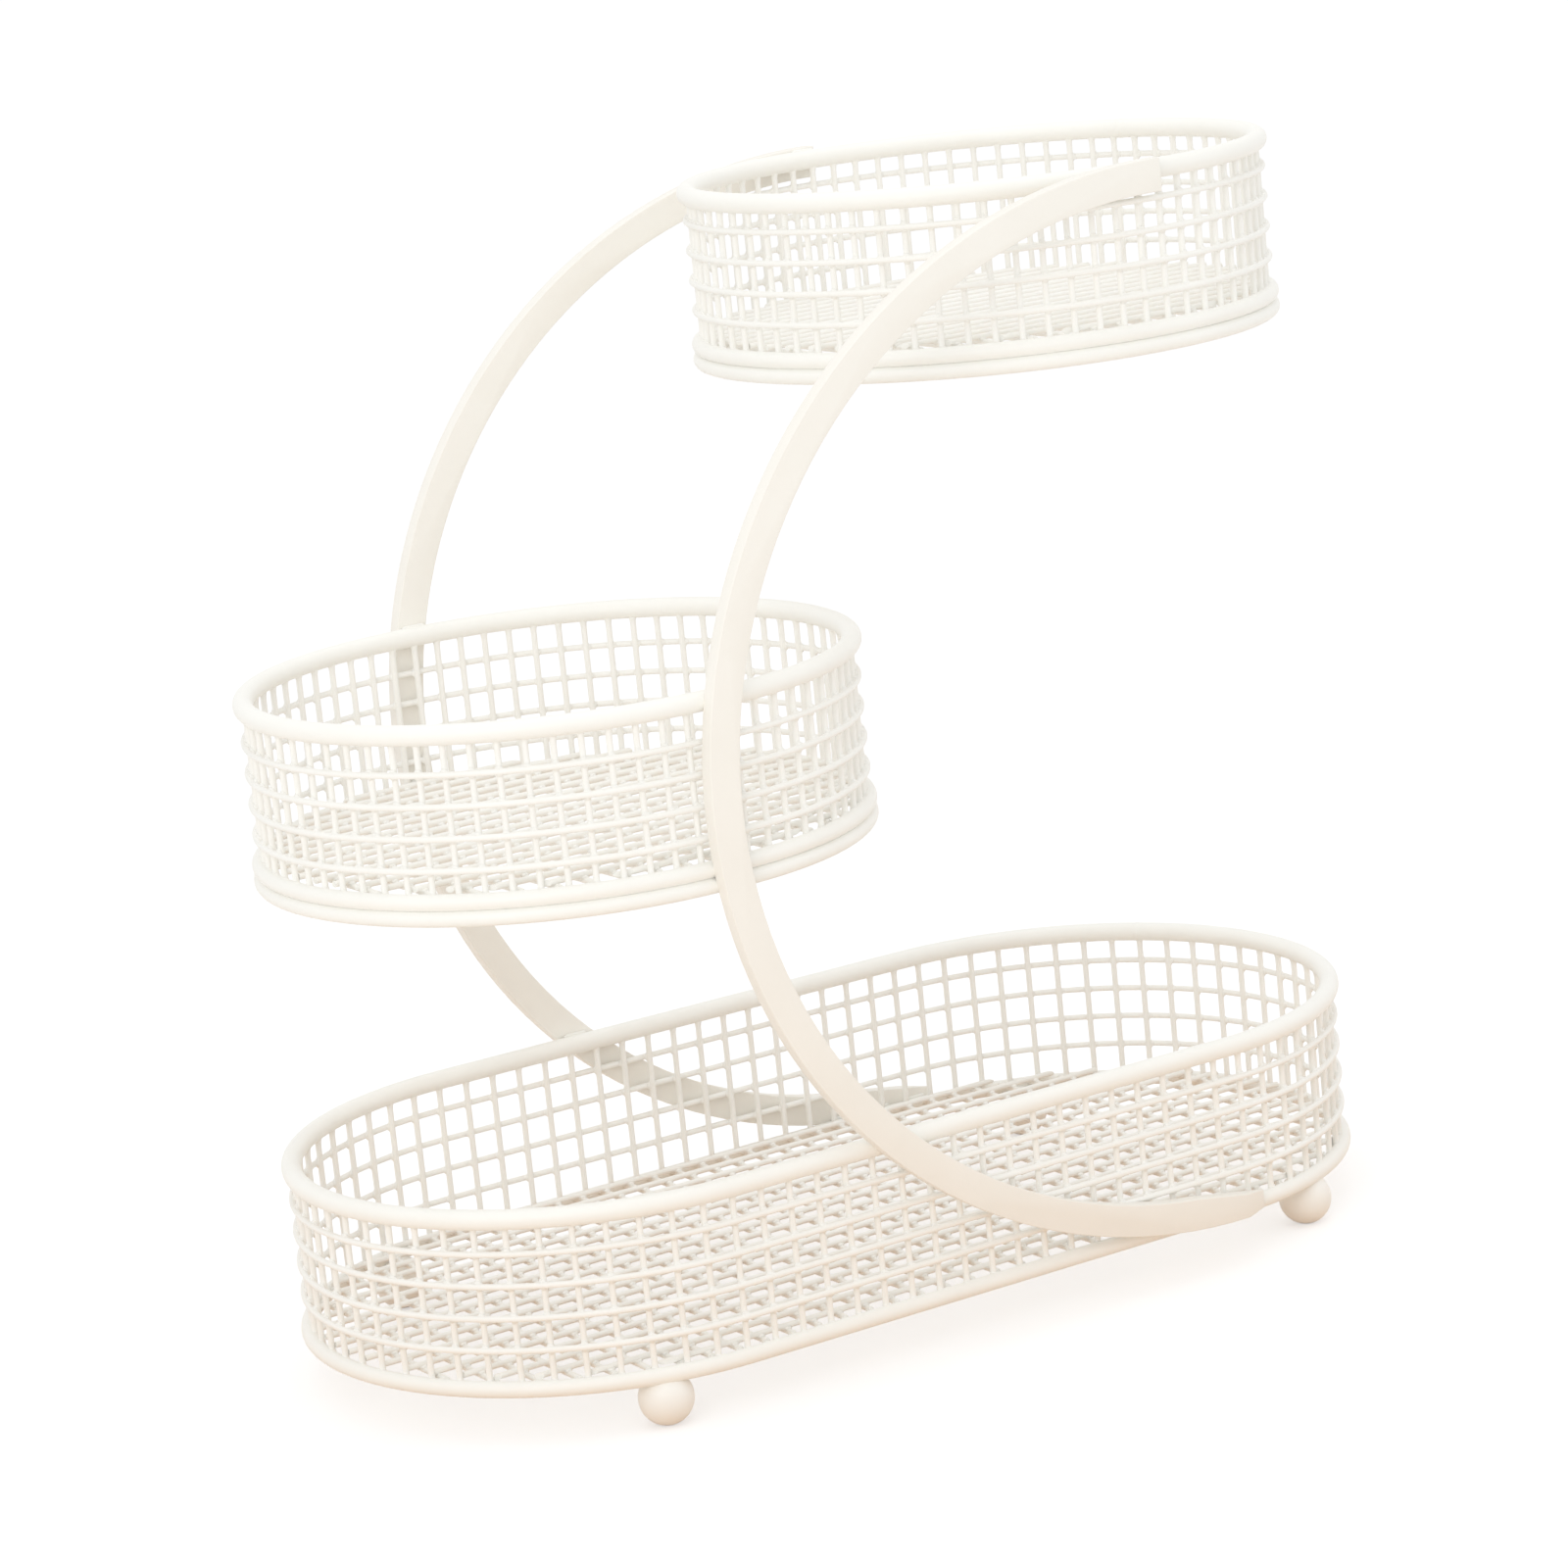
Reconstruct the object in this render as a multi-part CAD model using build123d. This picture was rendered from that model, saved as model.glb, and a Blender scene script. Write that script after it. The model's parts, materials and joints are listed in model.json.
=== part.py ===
from build123d import *
import math
import os

# Three-tier countertop basket stand in painted steel.
# Three oval wire baskets are welded between two C-shaped flat bars,
# and the lowest basket stands on four ball feet.
# X runs along the bottom basket, Y from front to back and Z is up.
# The origin is on the table, below the centre of the stand's outline.

# Driving dimensions, in millimetres

# Side bars
BAR_GAP = 224.0             # clear width between the two bars
BAR_THICKNESS = 6.0
BAR_WIDTH = 12.2
C_DEPTH = 208.0             # from the C's centre to its bar's middle line, along X
BAR_PROUD = 1.0             # the bars' edges stand above the top rim and the lowest ring
TOP_END_REACH = 1.8         # the bar's upper end, past the C's centre
LOW_END_REACH = 14.0        # the bar's lower end, past the C's centre
TIP_TAPER_LENGTH = 62.0
TIP_WIDTH = 7.5

# Round stock
RIM_DIA = 7.5
RING_DIA = 6.1
WIRE_DIA = 2.3
WELD_SINK = 0.3             # how far two welded pieces bed into each other

# Ovals
BOTTOM_STRAIGHT = 218.8     # straight run of each basket's long sides
MIDDLE_STRAIGHT = 8.4
TOP_STRAIGHT = 1.6
BOTTOM_SHIFT = 106.2        # the bottom basket's centre, short of the C's centre

# Heights
BOTTOM_WALL = 63.0          # each wall runs from its ring's middle to its rim's middle
MIDDLE_WALL = 59.8
TOP_WALL = 58.0
MIDDLE_RING_HEIGHT = 198.05
TOP_RING_HEIGHT = 357.45

# Wire mesh of the walls, square in the bottom basket and closer in the two small ones
LARGE_UPRIGHT_PITCH = 12.0
LARGE_HOOP_PITCH = 12.0
SMALL_UPRIGHT_PITCH = 9.8
SMALL_HOOP_PITCH = 11.5
BOTTOM_HOOP_START = 14.5    # the lowest hoop, above its ring's middle
MIDDLE_HOOP_START = 11.3
TOP_HOOP_START = 13.1
HOOP_COUNT = 4
WALL_INSET = 3.3            # outer face of the uprights, inside the rim's outermost line
WIRE_BITE = 0.4             # how far a hoop beds into the uprights

# Square wire mesh of the floors
FLOOR_PITCH = 11.3
FLOOR_SLACK = 0.2           # clearance between the floor's outline and the uprights

# Ball feet
BALL_DIA = 20.4
BALL_FLAT = 0.3             # depth of the flat that rests on the table
BALL_SINK = 3.45            # how far the ball's top stands above the lowest ring's underside
FOOT_INSET = 5.0            # the balls' middles, inside the ring's middle line
LEFT_FOOT_TURN = 18.0       # degrees round the oval's end, past the straight run
RIGHT_FOOT_TURN = 25.0

# Places that follow from the sizes
RIM_R = RIM_DIA / 2
RING_R = RING_DIA / 2
WIRE_R = WIRE_DIA / 2
BALL_R = BALL_DIA / 2
BAR_INNER_Y = BAR_GAP / 2
OVAL_R = BAR_INNER_Y + WELD_SINK    # outermost line of every oval's round ends

BOTTOM_RING_Z = BALL_DIA - BALL_FLAT - BALL_SINK + RING_R
MIDDLE_RIM_Z = MIDDLE_RING_HEIGHT + MIDDLE_WALL
TOP_RIM_Z = TOP_RING_HEIGHT + TOP_WALL

C_LOW_Z = BOTTOM_RING_Z - RING_R + BAR_WIDTH / 2 + BAR_PROUD
C_HIGH_Z = TOP_RIM_Z + RIM_R - BAR_WIDTH / 2 + BAR_PROUD
C_CENTRE_Z = (C_LOW_Z + C_HIGH_Z) / 2
C_HALF_HEIGHT = (C_HIGH_Z - C_LOW_Z) / 2


def bar_reach(z):
    """How far the bars' middle line stands from the C's centre at a height."""
    rise = (z - C_CENTRE_Z) / C_HALF_HEIGHT
    return C_DEPTH * math.sqrt(1 - rise * rise)


MIDDLE_SHIFT = bar_reach((MIDDLE_RING_HEIGHT + MIDDLE_RIM_Z) / 2)

# The outline's ends set where the C's centre lies along X
BOTTOM_HALF = BOTTOM_STRAIGHT / 2 + OVAL_R
MIDDLE_HALF = MIDDLE_STRAIGHT / 2 + OVAL_R
TOP_HALF = TOP_STRAIGHT / 2 + OVAL_R
LEFT_REACH = max(MIDDLE_SHIFT + MIDDLE_HALF, BOTTOM_SHIFT + BOTTOM_HALF)
RIGHT_REACH = max(TOP_HALF, BOTTOM_HALF - BOTTOM_SHIFT)
C_X = (LEFT_REACH - RIGHT_REACH) / 2

# Each basket's centre, straight run, ring height and wall height
BASKETS = {
    "bottom": (C_X - BOTTOM_SHIFT, BOTTOM_STRAIGHT, BOTTOM_RING_Z, BOTTOM_WALL),
    "middle": (C_X - MIDDLE_SHIFT, MIDDLE_STRAIGHT, MIDDLE_RING_HEIGHT, MIDDLE_WALL),
    "top": (C_X, TOP_STRAIGHT, TOP_RING_HEIGHT, TOP_WALL),
}

# Each wall's upright pitch, lowest hoop above the ring and hoop pitch
MESHES = {
    "bottom": (LARGE_UPRIGHT_PITCH, BOTTOM_HOOP_START, LARGE_HOOP_PITCH),
    "middle": (SMALL_UPRIGHT_PITCH, MIDDLE_HOOP_START, SMALL_HOOP_PITCH),
    "top": (SMALL_UPRIGHT_PITCH, TOP_HOOP_START, SMALL_HOOP_PITCH),
}


def oval_wire(x, straight, radius, z):
    """Closed oval line: two straight runs joined by half circles."""
    left = x - straight / 2
    right = x + straight / 2
    front = Line((left, -radius, z), (right, -radius, z))
    right_end = ThreePointArc((right, -radius, z), (right + radius, 0, z), (right, radius, z))
    back = Line((right, radius, z), (left, radius, z))
    left_end = ThreePointArc((left, radius, z), (left - radius, 0, z), (left, -radius, z))
    return Wire([front, right_end, back, left_end])


def oval_rod(x, straight, radius, z, rod_radius):
    """Round rod bent into an oval; radius is that of its middle line."""
    path = oval_wire(x, straight, radius, z)
    start = Plane(origin=(x - straight / 2, -radius, z), z_dir=(1, 0, 0))
    return sweep(start * Circle(rod_radius), path=path)


def oval_place(x, straight, radius, share):
    """Point on an oval, a share of the way round from its left tip by the front."""
    half_turn = math.pi * radius
    length = 2 * straight + 2 * half_turn
    run = (share * length) % length
    if run < half_turn / 2:
        turn = math.pi + run / radius
        return x - straight / 2 + radius * math.cos(turn), radius * math.sin(turn)
    run -= half_turn / 2
    if run < straight:
        return x - straight / 2 + run, -radius
    run -= straight
    if run < half_turn:
        turn = run / radius - math.pi / 2
        return x + straight / 2 + radius * math.cos(turn), radius * math.sin(turn)
    run -= half_turn
    if run < straight:
        return x + straight / 2 - run, radius
    run -= straight
    turn = math.pi / 2 + run / radius
    return x - straight / 2 + radius * math.cos(turn), radius * math.sin(turn)


def surface_rise(rod_radius, wall_radius):
    """How far above its middle a rod's surface lies under a wire's far edge."""
    aside = OVAL_R - rod_radius - wall_radius + WIRE_R
    return math.sqrt(rod_radius ** 2 - aside ** 2)


def uprights(x, straight, ring_z, wall, pitch):
    """Wires that stand in a wall, their ends bedded in the ring and the rim."""
    radius = OVAL_R - WALL_INSET - WIRE_R
    low = ring_z + surface_rise(RING_R, radius)
    high = ring_z + wall - surface_rise(RIM_R, radius)
    count = round((2 * straight + 2 * math.pi * radius) / pitch)
    wires = []
    for number in range(count):
        place_x, place_y = oval_place(x, straight, radius, number / count)
        end = Plane(origin=(place_x, place_y, low))
        wires.append(extrude(end * Circle(WIRE_R), amount=high - low))
    return Compound(children=wires)


def hoop(x, straight, z):
    """One level wire round the outside of the uprights."""
    radius = OVAL_R - WALL_INSET - WIRE_R + (WIRE_DIA - WIRE_BITE)
    return oval_rod(x, straight, radius, z, WIRE_R)


def evenly_spaced(half_span):
    """Places at the floor's pitch on both sides of zero, within a half span."""
    count = math.floor(half_span / FLOOR_PITCH)
    return [number * FLOOR_PITCH for number in range(-count, count + 1)]


def floor_wires(x, straight, ring_z):
    """The floor's two layers of wires: cross wires on the ring, long wires on them."""
    radius = OVAL_R - WALL_INSET - WIRE_DIA - FLOOR_SLACK
    ring_top = math.sqrt(RING_R ** 2 - (OVAL_R - RING_R - radius) ** 2)
    cross_z = ring_z + ring_top - WELD_SINK + WIRE_R
    long_z = cross_z + WIRE_DIA - WIRE_BITE
    reach = straight / 2 + radius
    outline = extrude(Face(oval_wire(x, straight, radius, ring_z)), amount=RIM_DIA, dir=(0, 0, 1))
    cross = []
    for aside in evenly_spaced(reach - WIRE_DIA):
        start = Plane(origin=(x + aside, -radius, cross_z), z_dir=(0, 1, 0))
        cross.append(extrude(start * Circle(WIRE_R), amount=2 * radius) & outline)
    long = []
    for aside in evenly_spaced(radius - WIRE_DIA):
        start = Plane(origin=(x - reach, aside, long_z), z_dir=(1, 0, 0))
        long.append(extrude(start * Circle(WIRE_R), amount=2 * reach) & outline)
    return Compound(children=cross), Compound(children=long)


def c_curve(offset):
    """The C's whole oval, moved outwards by an offset, as a filled shape."""
    oval = Ellipse(C_DEPTH + offset, C_HALF_HEIGHT + offset)
    return Plane.XZ * (Pos(C_X, C_CENTRE_Z) * oval)


def rectangle_xz(x_low, x_high, z_low, z_high):
    """Upright rectangle in the bars' plane."""
    middle = Pos((x_low + x_high) / 2, (z_low + z_high) / 2)
    return Plane.XZ * (middle * Rectangle(x_high - x_low, z_high - z_low))


def side_bar(y_low):
    """C-shaped flat bar; its lower end narrows to blend with the ring."""
    half = BAR_WIDTH / 2
    band = c_curve(half) - c_curve(-half)
    right = C_X + C_DEPTH + BAR_WIDTH
    top = C_HIGH_Z + BAR_WIDTH
    bottom = C_LOW_Z - BAR_WIDTH
    band -= rectangle_xz(C_X + TOP_END_REACH, right, C_CENTRE_Z, top)
    band -= rectangle_xz(C_X + LOW_END_REACH, right, bottom, C_CENTRE_Z)
    tip_x = C_X + LOW_END_REACH
    tip_z = C_LOW_Z - half + TIP_WIDTH
    taper_x = tip_x - TIP_TAPER_LENGTH
    taper_turn = math.asin((C_X - taper_x) / (C_DEPTH - half))
    taper_z = C_CENTRE_Z - (C_HALF_HEIGHT - half) * math.cos(taper_turn)
    cut = Plane.XZ * Polygon(
        (taper_x, taper_z), (tip_x, tip_z), (right, tip_z), (right, taper_z + BAR_WIDTH),
        (taper_x, taper_z + BAR_WIDTH), align=None,
    )
    band -= cut
    solid = extrude(band, amount=BAR_THICKNESS, dir=(0, 1, 0))
    return Pos(0, y_low, 0) * solid


def ball_foot(x, y, groove):
    """Ball with a small flat below and a groove above that cradles the ring."""
    ball = Pos(x, y, BALL_R - BALL_FLAT) * Sphere(BALL_R)
    below_table = Pos(x, y, -BALL_R) * Box(2 * BALL_DIA, 2 * BALL_DIA, BALL_DIA)
    return ball - below_table - groove


def basket(name, x, straight, ring_z, wall):
    """All pieces of one basket, by name."""
    rim_radius = OVAL_R - RIM_R
    ring_radius = OVAL_R - RING_R
    cross_wires, long_wires = floor_wires(x, straight, ring_z)
    upright_pitch, hoop_start, hoop_pitch = MESHES[name]
    pieces = {
        name + "_basket_rim": oval_rod(x, straight, rim_radius, ring_z + wall, RIM_R),
        name + "_basket_base_ring": oval_rod(x, straight, ring_radius, ring_z, RING_R),
        name + "_basket_uprights": uprights(x, straight, ring_z, wall, upright_pitch),
        name + "_basket_floor_cross_wires": cross_wires,
        name + "_basket_floor_long_wires": long_wires,
    }
    for number in range(HOOP_COUNT):
        node = name + "_basket_hoop_" + str(number + 1)
        pieces[node] = hoop(x, straight, ring_z + hoop_start + number * hoop_pitch)
    if name != "bottom":
        low_z = ring_z - RING_DIA + WELD_SINK
        pieces[name + "_basket_lower_ring"] = oval_rod(x, straight, ring_radius, low_z, RING_R)
    return pieces


def feet():
    """Four ball feet under the lowest ring, on its round ends."""
    centre = C_X - BOTTOM_SHIFT
    ring_radius = OVAL_R - RING_R
    foot_radius = ring_radius - FOOT_INSET
    groove = oval_rod(centre, BOTTOM_STRAIGHT, ring_radius, BOTTOM_RING_Z, RING_R - WELD_SINK)
    pieces = {}
    for end, side, turn in (("left", -1, LEFT_FOOT_TURN), ("right", 1, RIGHT_FOOT_TURN)):
        along = BOTTOM_STRAIGHT / 2 + foot_radius * math.sin(math.radians(turn))
        across = foot_radius * math.cos(math.radians(turn))
        pieces["foot_front_" + end] = ball_foot(centre + side * along, -across, groove)
        pieces["foot_back_" + end] = ball_foot(centre + side * along, across, groove)
    return pieces


def stand():
    """Every piece of the stand, by node name."""
    pieces = {
        "front_side_bar": side_bar(-BAR_INNER_Y - BAR_THICKNESS),
        "back_side_bar": side_bar(BAR_INNER_Y),
    }
    for name, (x, straight, ring_z, wall) in BASKETS.items():
        pieces.update(basket(name, x, straight, ring_z, wall))
    pieces.update(feet())
    return pieces


os.makedirs("parts", exist_ok=True)
for node, shape in stand().items():
    export_step(shape, os.path.join("parts", node + ".step"))
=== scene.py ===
# Three-tier worktop basket stand in cream powder-coated steel.
# Lengths are in metres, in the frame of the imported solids: X runs along the bottom
# basket, Y from front to back and Z is up, with the table at zero.
# The rods, rings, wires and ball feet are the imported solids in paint. The two bars are
# remade with soft edges and with their lower ends ground down to the bottom ring. The
# welds between bars, rods and wires get their beads or their fillets of paint.

import json
import math

import bpy
from mathutils import Matrix, Vector

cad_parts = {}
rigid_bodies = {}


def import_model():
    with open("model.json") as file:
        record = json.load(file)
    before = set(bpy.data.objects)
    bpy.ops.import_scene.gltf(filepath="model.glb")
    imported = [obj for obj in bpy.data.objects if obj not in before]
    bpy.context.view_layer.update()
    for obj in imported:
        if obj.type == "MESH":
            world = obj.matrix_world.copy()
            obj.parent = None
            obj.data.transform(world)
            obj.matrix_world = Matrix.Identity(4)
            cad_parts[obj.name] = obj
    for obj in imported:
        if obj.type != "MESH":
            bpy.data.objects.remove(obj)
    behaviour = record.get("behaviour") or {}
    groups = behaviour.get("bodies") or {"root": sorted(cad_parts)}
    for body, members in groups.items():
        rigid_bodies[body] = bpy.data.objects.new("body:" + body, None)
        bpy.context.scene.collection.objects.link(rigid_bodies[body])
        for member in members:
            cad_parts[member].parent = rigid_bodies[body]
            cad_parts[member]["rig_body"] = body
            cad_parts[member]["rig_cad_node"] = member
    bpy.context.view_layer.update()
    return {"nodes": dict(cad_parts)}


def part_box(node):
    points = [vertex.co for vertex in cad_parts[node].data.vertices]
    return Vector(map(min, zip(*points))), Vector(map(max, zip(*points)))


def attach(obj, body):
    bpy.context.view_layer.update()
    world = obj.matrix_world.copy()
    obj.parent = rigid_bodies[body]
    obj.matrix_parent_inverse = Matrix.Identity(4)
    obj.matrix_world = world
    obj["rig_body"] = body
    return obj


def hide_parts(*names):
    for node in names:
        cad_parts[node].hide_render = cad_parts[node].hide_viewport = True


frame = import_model()

# Stock sizes, as in the solids
RIM_RADIUS = 0.00375
RING_RADIUS = 0.00305
WIRE_RADIUS = 0.00115
WIRE_BITE = 0.0004
WALL_INSET = 0.0033
UPRIGHT_PITCHES = {"bottom": 0.012, "middle": 0.0098, "top": 0.0098}
FLOOR_PITCH = 0.0113
HOOP_COUNT = 4
BASKETS = ("bottom", "middle", "top")
BARS = {"front_side_bar": -1, "back_side_bar": 1}
BAR_WIDTH = 0.0122
C_DEPTH = 0.208
WELD_SINK = 0.0003

# The bars' soft edges, with turns in degrees, and their lower ends ground down to the
# ring, where the last value is the thickness that is left
MERGE_DISTANCE = 0.000002
FLAT_TURN = 0.2
EDGE_TURN = 40
EDGE_ROUNDING = 0.0007
EDGE_ROUNDING_STEPS = 3
TIP_SLANT_LENGTH = 0.0112
TIP_LEFT = 0.0008

# Edges shallower than these turns, in degrees, are smoothed
BAR_SMOOTH_TURN = 35
FILLET_SMOOTH_TURN = 50
SEAM_SMOOTH_TURN = 50
WELD_SMOOTH_TURN = 60

# A face looks along an axis when its normal has this share in it
FACING_SHARE = 0.9

# Paint fillets at the crossings of the mesh
FILLET_POINTS = 8
FILLET_REACH = 0.0021
FILLET_WAIST = 0.0017
FILLET_VALLEY_SHARE = 0.25
FILLET_RIM_SHARE = 0.26
FILLET_DOME_SHARE = 0.3
WALL_FILLET_THICKNESS = 0.0011
FLOOR_FILLET_THICKNESS = 0.0010

# Collars of paint at the uprights' ends
COLLAR_SIDES = 10
COLLAR_SHARE = 1.32
COLLAR_TAPER_SHARES = (0.86, 0.92, 0.96)
COLLAR_STEP = 0.0008
COLLAR_SINK = 0.0003

# Weld beads, and the rods that a bar crosses, with the sides that have room for a bead:
# -1 is below the rod and 1 above it
BEAD_SIDES = 8
BEAD_LENGTH = 0.0090
BEAD_RADIUS = 0.0009
BEAD_RIPPLES = 6
BEAD_TIP_SHARE = 0.5
BEAD_WAIST_SHARE = 0.88
BEAD_SINK_SHARE = 0.7
RING_WELDS = 6
TIP_WELDS = 3
CROSSED_RODS = (
    ("middle", "rim", RIM_RADIUS, (-1, 1)),
    ("middle", "base_ring", RING_RADIUS, (1,)),
    ("middle", "lower_ring", RING_RADIUS, (-1,)),
    ("bottom", "rim", RIM_RADIUS, (-1, 1)),
)

# Ground-off butt seams
SEAM_SIDES = 40
SEAM_WIDTH = 0.0012
SEAM_HEIGHT = 0.00012
SEAM_BAND_SHARE = 0.75
SEAM_SHARE = 0.56
SEAM_STEP_SHARE = 0.008

# Weld nuggets under the floors
NUGGET_SIDES = 10
NUGGET_RADIUS = 0.0016
NUGGET_THICKNESS = 0.0008
NUGGET_DOME = 0.0005
NUGGET_TOP_SHARE = 0.6
NUGGET_LIFT_SHARE = 0.6
NUGGET_INSET_SHARE = 0.7

# Paint: clouds of a second shade, and rubs that change its gloss
PAINT_IOR = 1.5
NOISE_LOW = 0.3
NOISE_HIGH = 0.7
CLOUD_SCALE = 38.0
CLOUD_DETAIL = 4.0
CLOUD_ROUGHNESS = 0.6
RUB_SCALE = 160.0
RUB_DETAIL = 3.0
RUB_SPREAD = 0.06
SAG_DETAIL = 1.0

# The mix node's colour sockets, by number, as their names repeat
FIRST_COLOUR = 6
SECOND_COLOUR = 7
MIXED_COLOUR = 2

# Tabletop, sky and lamps, each lamp with its place, its size and its power in watts
WHITE = (1.0, 1.0, 1.0, 1.0)
TABLE_SIZE = 60.0
TABLE_ROUGHNESS = 0.8
TABLE_NEAR_COLOUR = (0.79, 0.575, 0.40, 1.0)
TABLE_FAR_COLOUR = (0.94, 0.93, 0.91, 1.0)
TABLE_FADE_START = 0.24
TABLE_FADE_END = 0.60
TABLE_SHOWN_COLOUR = (0.58, 0.58, 0.58, 1.0)
TABLE_SHOWN_GLOW = 0.5
SKY_STRENGTH = 0.81
SKY_SHOWN_STRENGTH = 1.0
LAMP_AIM = (0.0, 0.0, 0.2)
LAMPS = (
    ("top_softbox", (0.1, 0.1, 1.7), 1.4, 4.0),
    ("left_softbox", (-1.5, -1.2, 1.0), 1.1, 7.8),
    ("right_softbox", (1.5, -1.1, 0.9), 1.1, 2.0),
)

# Camera, as solved from the picture, in metres, degrees and millimetres of lens
CAMERA_PLACE = (-0.980267, -1.581382, 0.592821)
CAMERA_YAW = 31.6547
CAMERA_PITCH = -12.0987
CAMERA_ROLL = -5.8321
CAMERA_NEAR = 0.05
CAMERA_FAR = 200.0
SENSOR_WIDTH = 36.0
LENS = 114.929


# Materials

def link(tree, source, output, target, entry):
    """Join one node's output to another's input."""
    tree.links.new(source.outputs[output], target.inputs[entry])


def noise(tree, place, scale, detail=2.0, roughness=0.5):
    """Noise on the object's own coordinates."""
    node = tree.nodes.new("ShaderNodeTexNoise")
    node.inputs["Scale"].default_value = scale
    node.inputs["Detail"].default_value = detail
    node.inputs["Roughness"].default_value = roughness
    link(tree, place, "Object", node, "Vector")
    return node


def spread(tree, source, low, high):
    """The middle of a noise's range, spread between two values."""
    node = tree.nodes.new("ShaderNodeMapRange")
    node.inputs["From Min"].default_value = NOISE_LOW
    node.inputs["From Max"].default_value = NOISE_HIGH
    node.inputs["To Min"].default_value = low
    node.inputs["To Max"].default_value = high
    link(tree, source, "Fac", node, "Value")
    return node


def colour_mix(tree, amount, first, second):
    """Two colours, mixed by what another node gives."""
    node = tree.nodes.new("ShaderNodeMix")
    node.data_type = "RGBA"
    node.inputs[FIRST_COLOUR].default_value = first
    node.inputs[SECOND_COLOUR].default_value = second
    link(tree, amount, "Result", node, 0)
    return node


def relief(tree, source, depth):
    """Bumps of one depth from a noise."""
    node = tree.nodes.new("ShaderNodeBump")
    node.inputs["Strength"].default_value = 1.0
    node.inputs["Distance"].default_value = depth
    link(tree, source, "Fac", node, "Height")
    return node


def powder_coat(name, colour, shade, roughness, peel_scale, peel_depth, sag_scale, sag_depth):
    """Cream powder paint: clouds of a second shade, orange peel and slow sags."""
    material = bpy.data.materials.new(name)
    material.use_nodes = True
    tree = material.node_tree
    shader = tree.nodes["Principled BSDF"]
    shader.inputs["Metallic"].default_value = 0.0
    shader.inputs["IOR"].default_value = PAINT_IOR
    place = tree.nodes.new("ShaderNodeTexCoord")

    clouds = noise(tree, place, CLOUD_SCALE, detail=CLOUD_DETAIL, roughness=CLOUD_ROUGHNESS)
    cloud_share = spread(tree, clouds, 0.0, 1.0)
    cream = colour_mix(tree, cloud_share, (*colour, 1.0), (*shade, 1.0))
    link(tree, cream, MIXED_COLOUR, shader, "Base Color")

    rubs = noise(tree, place, RUB_SCALE, detail=RUB_DETAIL)
    dullness = spread(tree, rubs, roughness - RUB_SPREAD, roughness + RUB_SPREAD)
    link(tree, dullness, "Result", shader, "Roughness")

    sags = noise(tree, place, sag_scale, detail=SAG_DETAIL)
    slow = relief(tree, sags, sag_depth)
    peel = noise(tree, place, peel_scale)
    fine = relief(tree, peel, peel_depth)
    link(tree, slow, "Normal", fine, "Normal")
    link(tree, fine, "Normal", shader, "Normal")
    return material


# One cream paint throughout: the rods, wires and feet get lighter copies of the bars' colour,
# and that lift is painted light, for their brighter lit look
bar_paint = powder_coat(
    "bar_cream_paint", (0.940, 0.915, 0.855), (0.920, 0.892, 0.826), 0.48,
    peel_scale=620.0, peel_depth=0.00004, sag_scale=90.0, sag_depth=0.00010,
)
rod_paint = powder_coat(
    "rod_cream_paint", (0.960, 0.954, 0.910), (0.942, 0.932, 0.884), 0.46,
    peel_scale=680.0, peel_depth=0.00004, sag_scale=110.0, sag_depth=0.00012,
)
wire_paint = powder_coat(
    "wire_cream_paint", (0.962, 0.956, 0.918), (0.942, 0.932, 0.888), 0.50,
    peel_scale=900.0, peel_depth=0.00005, sag_scale=230.0, sag_depth=0.00014,
)
foot_paint = powder_coat(
    "foot_cream_paint", (0.965, 0.960, 0.920), (0.947, 0.938, 0.894), 0.42,
    peel_scale=560.0, peel_depth=0.00004, sag_scale=80.0, sag_depth=0.00010,
)


def paint(piece, material):
    """Give a piece one material in every slot."""
    if not piece.material_slots:
        piece.data.materials.append(material)
    for slot in piece.material_slots:
        slot.material = material


for node_name, solid in frame["nodes"].items():
    if node_name in BARS:
        paint(solid, bar_paint)
    elif node_name.startswith("foot_"):
        paint(solid, foot_paint)
    elif node_name.endswith("rim") or node_name.endswith("ring"):
        paint(solid, rod_paint)
    else:
        paint(solid, wire_paint)


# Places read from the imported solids

def basket_sizes(name):
    """A basket's centre along X, straight run, outermost radius and ring height."""
    low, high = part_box(name + "_basket_rim")
    ring_low, ring_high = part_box(name + "_basket_base_ring")
    outer = (high.y - low.y) / 2
    return {
        "x": (low.x + high.x) / 2,
        "straight": high.x - low.x - 2 * outer,
        "outer": outer,
        "ring_z": (ring_low.z + ring_high.z) / 2,
    }


SIZES = {name: basket_sizes(name) for name in BASKETS}


def oval_place(basket, radius, share):
    """A point on an oval and its outward turn, a share of the way from the left tip."""
    half_turn = math.pi * radius
    straight = basket["straight"]
    run = (share * (2 * straight + 2 * half_turn)) % (2 * straight + 2 * half_turn)
    left = basket["x"] - straight / 2
    right = basket["x"] + straight / 2
    if run < half_turn / 2:
        turn = math.pi + run / radius
        return left + radius * math.cos(turn), radius * math.sin(turn), turn
    run -= half_turn / 2
    if run < straight:
        return left + run, -radius, -math.pi / 2
    run -= straight
    if run < half_turn:
        turn = run / radius - math.pi / 2
        return right + radius * math.cos(turn), radius * math.sin(turn), turn
    run -= half_turn
    if run < straight:
        return right - run, radius, math.pi / 2
    turn = math.pi / 2 + (run - straight) / radius
    return left + radius * math.cos(turn), radius * math.sin(turn), turn


def upright_places(name):
    """Every upright wire's place and outward turn in one basket."""
    basket = SIZES[name]
    radius = basket["outer"] - WALL_INSET - WIRE_RADIUS
    length = 2 * basket["straight"] + 2 * math.pi * radius
    count = round(length / UPRIGHT_PITCHES[name])
    return [oval_place(basket, radius, number / count) for number in range(count)]


def evenly_spaced(half_span):
    """Places at the floor's pitch on both sides of zero, within a half span."""
    count = math.floor(half_span / FLOOR_PITCH)
    return [number * FLOOR_PITCH for number in range(-count, count + 1)]


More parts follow.
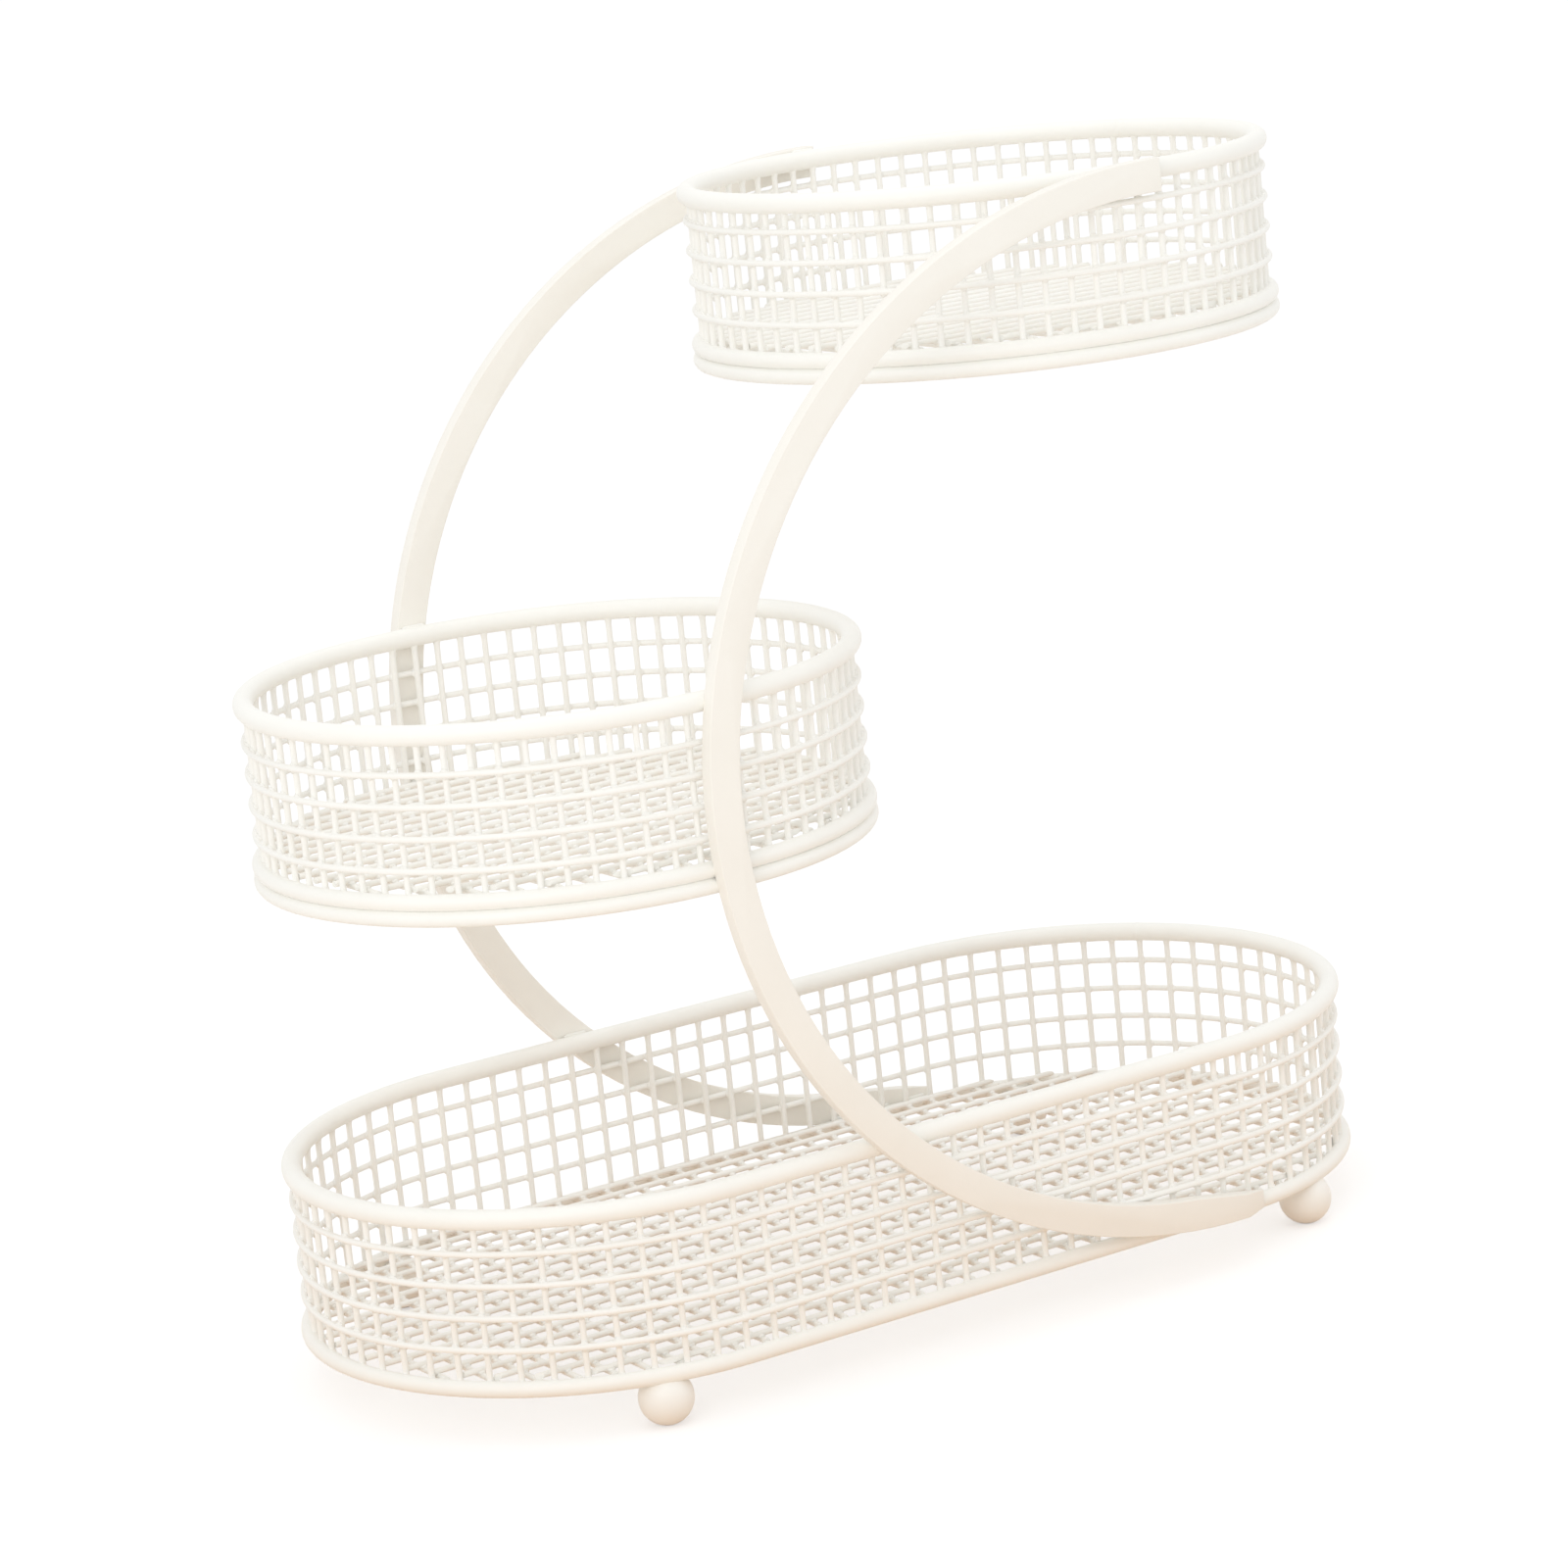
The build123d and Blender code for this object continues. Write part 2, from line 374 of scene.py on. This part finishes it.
# Modelling helpers

def only(piece):
    """Make one object the only selected and the active one."""
    bpy.ops.object.select_all(action="DESELECT")
    piece.select_set(True)
    bpy.context.view_layer.objects.active = piece


def leave_edit():
    """Back to object mode."""
    bpy.ops.object.mode_set(mode="OBJECT")


def clear_marks(piece):
    """Make a piece the active one, with none of its mesh selected."""
    only(piece)
    bpy.ops.object.mode_set(mode="EDIT")
    bpy.ops.mesh.select_all(action="DESELECT")
    leave_edit()


def select_faces(piece, wanted):
    """Select the faces whose normal passes a test, and enter edit mode."""
    clear_marks(piece)
    for face in piece.data.polygons:
        face.select = wanted(face.normal)
    bpy.ops.object.mode_set(mode="EDIT")
    bpy.ops.mesh.select_mode(type="FACE")


def select_points(piece, wanted):
    """Select the vertices whose place passes a test, and enter edit mode."""
    clear_marks(piece)
    for point in piece.data.vertices:
        point.select = wanted(point.co)
    bpy.ops.object.mode_set(mode="EDIT")
    bpy.ops.mesh.select_mode(type="VERT")


def short_rod(sides, radius, length):
    """A short rod along local Z, to be shaped further."""
    bpy.ops.object.select_all(action="DESELECT")
    bpy.ops.mesh.primitive_cylinder_add(vertices=sides, radius=radius, depth=length)
    return bpy.context.active_object


def draw_out(piece, way, length, share):
    """Extrude the end face on one side of a rod, and scale the new end by a share."""
    select_faces(piece, lambda normal: normal.z * way > FACING_SHARE)
    bpy.ops.mesh.extrude_region_move(
        TRANSFORM_OT_translate={"value": (0.0, 0.0, way * length)},
    )
    bpy.ops.transform.resize(value=(share, share, 1.0))
    leave_edit()


def settle(piece, name, smooth_turn):
    """Apply a piece's place, smooth its shallow edges and name it."""
    only(piece)
    bpy.ops.object.transform_apply(location=True, rotation=True, scale=True)
    bpy.ops.object.shade_smooth_by_angle(angle=math.radians(smooth_turn))
    piece.name = name
    piece.data.name = name


def copies(template, places, name, smooth_turn):
    """Copy a template to every place, each with its own mesh, and join them."""
    made = []
    for place in places:
        copy = template.copy()
        copy.data = template.data.copy()
        copy.matrix_world = place
        bpy.context.scene.collection.objects.link(copy)
        made.append(copy)
    bpy.ops.object.select_all(action="DESELECT")
    for copy in made:
        copy.select_set(True)
    bpy.context.view_layer.objects.active = made[0]
    bpy.ops.object.join()
    joined = bpy.context.view_layer.objects.active
    settle(joined, name, smooth_turn)
    return joined


def finish_piece(piece, material):
    """Paint a new piece and tie it to the stand's one rigid body."""
    paint(piece, material)
    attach(piece, "root")


def facing(x, y, z, turn):
    """Place with local Z turned outwards from a wall and local Y upright."""
    outward = Vector((math.cos(turn), math.sin(turn), 0.0))
    upward = Vector((0.0, 0.0, 1.0))
    level = upward.cross(outward)
    spin = Matrix((level, upward, outward)).transposed().to_4x4()
    return Matrix.Translation((x, y, z)) @ spin


def along(x, y, z, turn):
    """Place with local Z laid level in the direction of a turn about the upright axis."""
    ahead = Vector((math.cos(turn), math.sin(turn), 0.0))
    upward = Vector((0.0, 0.0, 1.0))
    aside = upward.cross(ahead)
    spin = Matrix((aside, upward, ahead)).transposed().to_4x4()
    return Matrix.Translation((x, y, z)) @ spin


# Paint fillets at the crossings of the mesh

def crossing_fillet(thickness):
    """Eight-pointed cushion that rounds the four corners of a wire crossing."""
    piece = short_rod(FILLET_POINTS, FILLET_REACH, thickness)
    valley = FILLET_REACH * FILLET_VALLEY_SHARE
    select_points(piece, lambda point: min(abs(point.x), abs(point.y)) > valley)
    waist_share = FILLET_WAIST / FILLET_REACH
    bpy.ops.transform.resize(value=(waist_share, waist_share, 1.0))
    leave_edit()
    select_faces(piece, lambda normal: abs(normal.z) > FACING_SHARE)
    bpy.ops.mesh.inset(
        thickness=FILLET_REACH * FILLET_RIM_SHARE,
        depth=thickness * FILLET_DOME_SHARE,
        use_individual=True,
    )
    leave_edit()
    return piece


def wall_fillets(name, template):
    """The fillets of one wall, where its hoops pass round its uprights."""
    aside = WIRE_RADIUS - WIRE_BITE / 2
    heights = []
    for number in range(HOOP_COUNT):
        low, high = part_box(name + "_basket_hoop_" + str(number + 1))
        heights.append((low.z + high.z) / 2)
    places = []
    for x, y, turn in upright_places(name):
        meeting_x = x + aside * math.cos(turn)
        meeting_y = y + aside * math.sin(turn)
        for z in heights:
            places.append(facing(meeting_x, meeting_y, z, turn))
    return copies(template, places, name + "_basket_wall_weld_fillets", FILLET_SMOOTH_TURN)


def floor_fillets(name, template):
    """The fillets of one floor, between its cross wires and its long wires."""
    basket = SIZES[name]
    cross_low, cross_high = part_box(name + "_basket_floor_cross_wires")
    z = cross_high.z - WIRE_BITE / 2
    radius = (cross_high.y - cross_low.y) / 2
    reach = basket["straight"] / 2 + radius
    places = []
    for lengthwise in evenly_spaced(reach - 2 * WIRE_RADIUS):
        for across in evenly_spaced(radius - 2 * WIRE_RADIUS):
            beyond = max(0.0, abs(lengthwise) - basket["straight"] / 2)
            if math.hypot(beyond, across) < radius - 2 * WIRE_RADIUS:
                places.append(Matrix.Translation((basket["x"] + lengthwise, across, z)))
    return copies(template, places, name + "_basket_floor_weld_fillets", FILLET_SMOOTH_TURN)


wall_template = crossing_fillet(WALL_FILLET_THICKNESS)
floor_template = crossing_fillet(FLOOR_FILLET_THICKNESS)
for basket_name in BASKETS:
    finish_piece(wall_fillets(basket_name, wall_template), wire_paint)
    finish_piece(floor_fillets(basket_name, floor_template), wire_paint)
bpy.data.objects.remove(wall_template)
bpy.data.objects.remove(floor_template)


# Collars where the uprights enter the ring and the rim

def collar():
    """Concave skirt of paint round a wire's foot, widest at the bottom."""
    piece = short_rod(COLLAR_SIDES, WIRE_RADIUS * COLLAR_SHARE, COLLAR_STEP)
    for share in COLLAR_TAPER_SHARES:
        draw_out(piece, 1, COLLAR_STEP, share)
    return piece


def collars(name, template):
    """A collar at both ends of every upright."""
    low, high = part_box(name + "_basket_uprights")
    flip = Matrix.Rotation(math.pi, 4, "X")
    places = []
    for x, y, turn in upright_places(name):
        spin = Matrix.Rotation(turn, 4, "Z")
        places.append(Matrix.Translation((x, y, low.z - COLLAR_SINK)) @ spin)
        places.append(Matrix.Translation((x, y, high.z + COLLAR_SINK)) @ spin @ flip)
    return copies(template, places, name + "_basket_upright_collars", WELD_SMOOTH_TURN)


collar_template = collar()
for basket_name in BASKETS:
    finish_piece(collars(basket_name, collar_template), wire_paint)
bpy.data.objects.remove(collar_template)


# Weld beads where the bars and the doubled rings meet

def weld_bead():
    """Rippled bead along local Z, with narrow ends."""
    step = BEAD_LENGTH / (2 * BEAD_RIPPLES)
    piece = short_rod(BEAD_SIDES, BEAD_RADIUS * BEAD_TIP_SHARE, step)
    shares = [1.0, BEAD_WAIST_SHARE] * (BEAD_RIPPLES - 1) + [1.0, BEAD_TIP_SHARE]
    last_share = BEAD_TIP_SHARE
    for share in shares:
        draw_out(piece, 1, step, share / last_share)
        last_share = share
    only(piece)
    piece.location = (0.0, 0.0, -BEAD_LENGTH / 2)
    bpy.ops.object.transform_apply(location=True)
    return piece


def bar_middle(height):
    """Where the bars' middle line stands along X at a height."""
    low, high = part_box("front_side_bar")
    band = BAR_WIDTH / 2
    middle_z = (low.z + high.z) / 2
    half_height = (high.z - low.z) / 2 - band
    rise = (height - middle_z) / half_height
    centre_x = low.x + band + C_DEPTH
    return centre_x - C_DEPTH * math.sqrt(max(0.0, 1.0 - rise * rise))


def notch_rise(rod_radius):
    """Height from a rod's middle to a bead that lies between the rod and a bar."""
    sunk = BEAD_RADIUS * BEAD_SINK_SHARE
    aside = rod_radius - WELD_SINK - sunk
    return math.sqrt((rod_radius + sunk) ** 2 - aside ** 2)


def bar_weld_places(side):
    """Beads above and below the rods that one bar crosses, and along its lower end."""
    bar_low, bar_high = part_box("front_side_bar" if side < 0 else "back_side_bar")
    inner = bar_high.y if side < 0 else bar_low.y
    y = inner - side * BEAD_RADIUS * BEAD_SINK_SHARE
    places = []
    for name, rod, radius, ways in CROSSED_RODS:
        low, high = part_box(name + "_basket_" + rod)
        middle = (low.z + high.z) / 2
        for way in ways:
            z = middle + way * notch_rise(radius)
            places.append(along(bar_middle(z), y, z, 0.0))
    rim_low, rim_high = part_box("top_basket_rim")
    rim_z = (rim_low.z + rim_high.z) / 2
    rim_x = (rim_low.x + rim_high.x) / 2
    for way in (-1, 1):
        z = rim_z + way * notch_rise(RIM_RADIUS)
        places.append(along(rim_x - BEAD_LENGTH / 2, y, z, 0.0))
    ring_low, ring_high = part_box("bottom_basket_base_ring")
    z = (ring_low.z + ring_high.z) / 2 + notch_rise(RING_RADIUS)
    for number in range(TIP_WELDS):
        places.append(along(bar_high.x - BEAD_LENGTH * (1 + 2 * number), y, z, 0.0))
    return places


def doubled_ring_weld_places(name):
    """Beads on the inner side, between a small basket's base ring and lower ring."""
    basket = SIZES[name]
    low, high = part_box(name + "_basket_lower_ring")
    lower_z = (low.z + high.z) / 2
    half_gap = (basket["ring_z"] - lower_z) / 2
    sunk = BEAD_RADIUS * BEAD_SINK_SHARE
    inward = math.sqrt((RING_RADIUS + sunk) ** 2 - half_gap ** 2)
    radius = basket["outer"] - RING_RADIUS - inward
    places = []
    for number in range(RING_WELDS):
        x, y, turn = oval_place(basket, radius, (number + 0.5) / RING_WELDS)
        places.append(along(x, y, lower_z + half_gap, turn + math.pi / 2))
    return places


def bead_row(template, places, name):
    """Finish one row of beads as a piece."""
    beads = copies(template, places, name, WELD_SMOOTH_TURN)
    finish_piece(beads, rod_paint)


bead_template = weld_bead()
for bar_name, bar_side in BARS.items():
    bead_row(bead_template, bar_weld_places(bar_side), bar_name + "_weld_beads")
for basket_name in ("middle", "top"):
    ring_places = doubled_ring_weld_places(basket_name)
    bead_row(bead_template, ring_places, basket_name + "_basket_ring_weld_beads")
bpy.data.objects.remove(bead_template)


# Butt seams where each rim and ring is closed, at the back

def butt_seam(rod_radius):
    """Low ground-off band of weld round a rod, along local Z."""
    piece = short_rod(SEAM_SIDES, rod_radius, SEAM_WIDTH)
    for way in (-1, 1):
        draw_out(piece, way, SEAM_WIDTH / 2, 1.0 - SEAM_HEIGHT / rod_radius)
    select_points(piece, lambda point: abs(point.z) < SEAM_WIDTH * SEAM_BAND_SHARE)
    grown = 1.0 + SEAM_HEIGHT / rod_radius
    bpy.ops.transform.resize(value=(grown, grown, 1.0))
    leave_edit()
    return piece


def butt_seams(name):
    """The seams of one basket's rim and rings."""
    basket = SIZES[name]
    rods = [("rim", RIM_RADIUS), ("base_ring", RING_RADIUS)]
    if name != "bottom":
        rods.append(("lower_ring", RING_RADIUS))
    made = []
    for number, (rod, radius) in enumerate(rods):
        low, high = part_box(name + "_basket_" + rod)
        middle_radius = basket["outer"] - radius
        share = SEAM_SHARE + number * SEAM_STEP_SHARE
        x, y, turn = oval_place(basket, middle_radius, share)
        template = butt_seam(radius)
        place = along(x, y, (low.z + high.z) / 2, turn + math.pi / 2)
        seam_name = name + "_basket_" + rod + "_butt_seam"
        made.append(copies(template, [place], seam_name, SEAM_SMOOTH_TURN))
        bpy.data.objects.remove(template)
    return made


for basket_name in BASKETS:
    for seam in butt_seams(basket_name):
        finish_piece(seam, rod_paint)


# Weld nuggets where the floors' cross wires rest on the rings

def nugget():
    """Flat round dab, domed on both sides."""
    piece = short_rod(NUGGET_SIDES, NUGGET_RADIUS, NUGGET_THICKNESS)
    for way in (-1, 1):
        draw_out(piece, way, NUGGET_DOME, NUGGET_TOP_SHARE)
    return piece


def nuggets(name, template):
    """A nugget at both ends of every cross wire."""
    basket = SIZES[name]
    low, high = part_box(name + "_basket_floor_cross_wires")
    radius = (high.y - low.y) / 2
    z = low.z + WIRE_RADIUS * NUGGET_LIFT_SHARE
    places = []
    for aside in evenly_spaced(basket["straight"] / 2 + radius - 2 * WIRE_RADIUS):
        beyond = max(0.0, abs(aside) - basket["straight"] / 2)
        reach = math.sqrt(radius ** 2 - beyond ** 2) - NUGGET_RADIUS * NUGGET_INSET_SHARE
        for side in (-1, 1):
            places.append(Matrix.Translation((basket["x"] + aside, side * reach, z)))
    return copies(template, places, name + "_basket_floor_end_welds", WELD_SMOOTH_TURN)


nugget_template = nugget()
for basket_name in BASKETS:
    finish_piece(nuggets(basket_name, nugget_template), wire_paint)
bpy.data.objects.remove(nugget_template)


# Side bars with soft edges

def grind_tip(piece, side):
    """Slant the lower end's outer face down to the ring, so that no blunt end stands out."""
    low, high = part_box("front_side_bar" if side < 0 else "back_side_bar")
    outer_y = low.y if side < 0 else high.y
    inward = high.y - low.y - TIP_LEFT
    only(piece)
    bpy.ops.object.mode_set(mode="EDIT")
    bpy.ops.mesh.select_all(action="SELECT")
    bpy.ops.mesh.bisect(
        plane_co=(high.x - TIP_SLANT_LENGTH, outer_y, 0.0),
        plane_no=Vector((inward, side * TIP_SLANT_LENGTH, 0.0)).normalized(),
        use_fill=True,
        clear_outer=True,
    )
    leave_edit()


def soft_bar(node_name):
    """The bar's own shape, merged into clean faces and rounded along its edges."""
    solid = frame["nodes"][node_name]
    piece = solid.copy()
    piece.data = solid.data.copy()
    piece.parent = None
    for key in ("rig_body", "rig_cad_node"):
        if key in piece:
            del piece[key]
    bpy.context.scene.collection.objects.link(piece)
    only(piece)
    bpy.ops.mesh.customdata_custom_splitnormals_clear()
    bpy.ops.object.mode_set(mode="EDIT")
    bpy.ops.mesh.select_all(action="SELECT")
    bpy.ops.mesh.remove_doubles(threshold=MERGE_DISTANCE)
    bpy.ops.mesh.dissolve_limited(angle_limit=math.radians(FLAT_TURN))
    bpy.ops.mesh.select_all(action="DESELECT")
    leave_edit()
    grind_tip(piece, BARS[node_name])
    rounding = piece.modifiers.new("rounding", "BEVEL")
    rounding.limit_method = "ANGLE"
    rounding.angle_limit = math.radians(EDGE_TURN)
    rounding.width = EDGE_ROUNDING
    rounding.segments = EDGE_ROUNDING_STEPS
    bpy.ops.object.modifier_apply(modifier="rounding")
    settle(piece, node_name + "_soft_edged", BAR_SMOOTH_TURN)
    return piece


for bar_name in BARS:
    bar_piece = soft_bar(bar_name)
    finish_piece(bar_piece, bar_paint)
    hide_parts(bar_name)


# Stage, lamps and camera

def seen_directly(tree):
    """One for rays that the camera sees, also by gloss or through glass, else zero."""
    path = tree.nodes.new("ShaderNodeLightPath")
    gloss = tree.nodes.new("ShaderNodeMath")
    gloss.operation = "MAXIMUM"
    link(tree, path, "Is Camera Ray", gloss, 0)
    link(tree, path, "Is Glossy Ray", gloss, 1)
    every = tree.nodes.new("ShaderNodeMath")
    every.operation = "MAXIMUM"
    link(tree, gloss, 0, every, 0)
    link(tree, path, "Is Transmission Ray", every, 1)
    return every


def split_look(tree, lighting, shown, output_name):
    """Light the stand with one shader, and show another where it is seen."""
    mix = tree.nodes.new("ShaderNodeMixShader")
    link(tree, seen_directly(tree), 0, mix, 0)
    link(tree, lighting, 0, mix, 1)
    link(tree, shown, 0, mix, 2)
    link(tree, mix, 0, tree.nodes[output_name], "Surface")


def floor_material():
    """Tabletop, warm round the stand, that shows white with the stand's shadow on it."""
    material = bpy.data.materials.new("pale_floor")
    material.use_nodes = True
    tree = material.node_tree
    warm = tree.nodes["Principled BSDF"]
    warm.inputs["Roughness"].default_value = TABLE_ROUGHNESS
    place = tree.nodes.new("ShaderNodeTexCoord")
    distance = tree.nodes.new("ShaderNodeVectorMath")
    distance.operation = "LENGTH"
    link(tree, place, "Object", distance, 0)
    fade = tree.nodes.new("ShaderNodeMapRange")
    fade.inputs["From Min"].default_value = TABLE_FADE_START
    fade.inputs["From Max"].default_value = TABLE_FADE_END
    link(tree, distance, "Value", fade, "Value")
    tint = colour_mix(tree, fade, TABLE_NEAR_COLOUR, TABLE_FAR_COLOUR)
    link(tree, tint, MIXED_COLOUR, warm, "Base Color")
    plain = tree.nodes.new("ShaderNodeBsdfPrincipled")
    plain.inputs["Base Color"].default_value = TABLE_SHOWN_COLOUR
    plain.inputs["Roughness"].default_value = TABLE_ROUGHNESS
    plain.inputs["Emission Color"].default_value = WHITE
    plain.inputs["Emission Strength"].default_value = TABLE_SHOWN_GLOW
    split_look(tree, warm, plain, "Material Output")
    return material


def tabletop():
    """Plain floor under the stand."""
    bpy.ops.object.select_all(action="DESELECT")
    bpy.ops.mesh.primitive_plane_add(size=TABLE_SIZE, location=(0.0, 0.0, 0.0))
    floor = bpy.context.active_object
    floor.name = "studio_floor"
    floor.data.materials.append(floor_material())


def sky():
    """Even light from all round, that shows white."""
    world = bpy.data.worlds.new("studio_sky")
    bpy.context.scene.world = world
    world.use_nodes = True
    tree = world.node_tree
    light = tree.nodes["Background"]
    light.inputs["Color"].default_value = WHITE
    light.inputs["Strength"].default_value = SKY_STRENGTH
    shown = tree.nodes.new("ShaderNodeBackground")
    shown.inputs["Color"].default_value = WHITE
    shown.inputs["Strength"].default_value = SKY_SHOWN_STRENGTH
    split_look(tree, light, shown, "World Output")


def lamps():
    """Three large soft lamps, aimed at the stand's middle."""
    for name, place, size, power in LAMPS:
        lamp = bpy.data.lights.new(name, "AREA")
        lamp.shape = "SQUARE"
        lamp.size = size
        lamp.energy = power
        holder = bpy.data.objects.new(name, lamp)
        holder.location = place
        aim = Vector(LAMP_AIM) - Vector(place)
        holder.rotation_euler = aim.to_track_quat("-Z", "Y").to_euler()
        bpy.context.scene.collection.objects.link(holder)


def photo_camera():
    """Camera at the picture's place and angle."""
    yaw = math.radians(CAMERA_YAW)
    pitch = math.radians(CAMERA_PITCH)
    roll = math.radians(CAMERA_ROLL)
    forward = Vector((
        math.sin(yaw) * math.cos(pitch),
        math.cos(yaw) * math.cos(pitch),
        math.sin(pitch),
    ))
    level_right = Vector((math.cos(yaw), -math.sin(yaw), 0.0))
    level_up = level_right.cross(forward)
    right = math.cos(roll) * level_right + math.sin(roll) * level_up
    upward = math.cos(roll) * level_up - math.sin(roll) * level_right
    lens = bpy.data.cameras.new("picture_camera")
    lens.sensor_width = SENSOR_WIDTH
    lens.lens = LENS
    lens.clip_start = CAMERA_NEAR
    lens.clip_end = CAMERA_FAR
    holder = bpy.data.objects.new("picture_camera", lens)
    spin = Matrix((right, upward, -forward)).transposed().to_4x4()
    holder.matrix_world = Matrix.Translation(CAMERA_PLACE) @ spin
    bpy.context.scene.collection.objects.link(holder)
    bpy.context.scene.camera = holder


tabletop()
sky()
lamps()
photo_camera()
bpy.context.scene.view_settings.view_transform = "Standard"
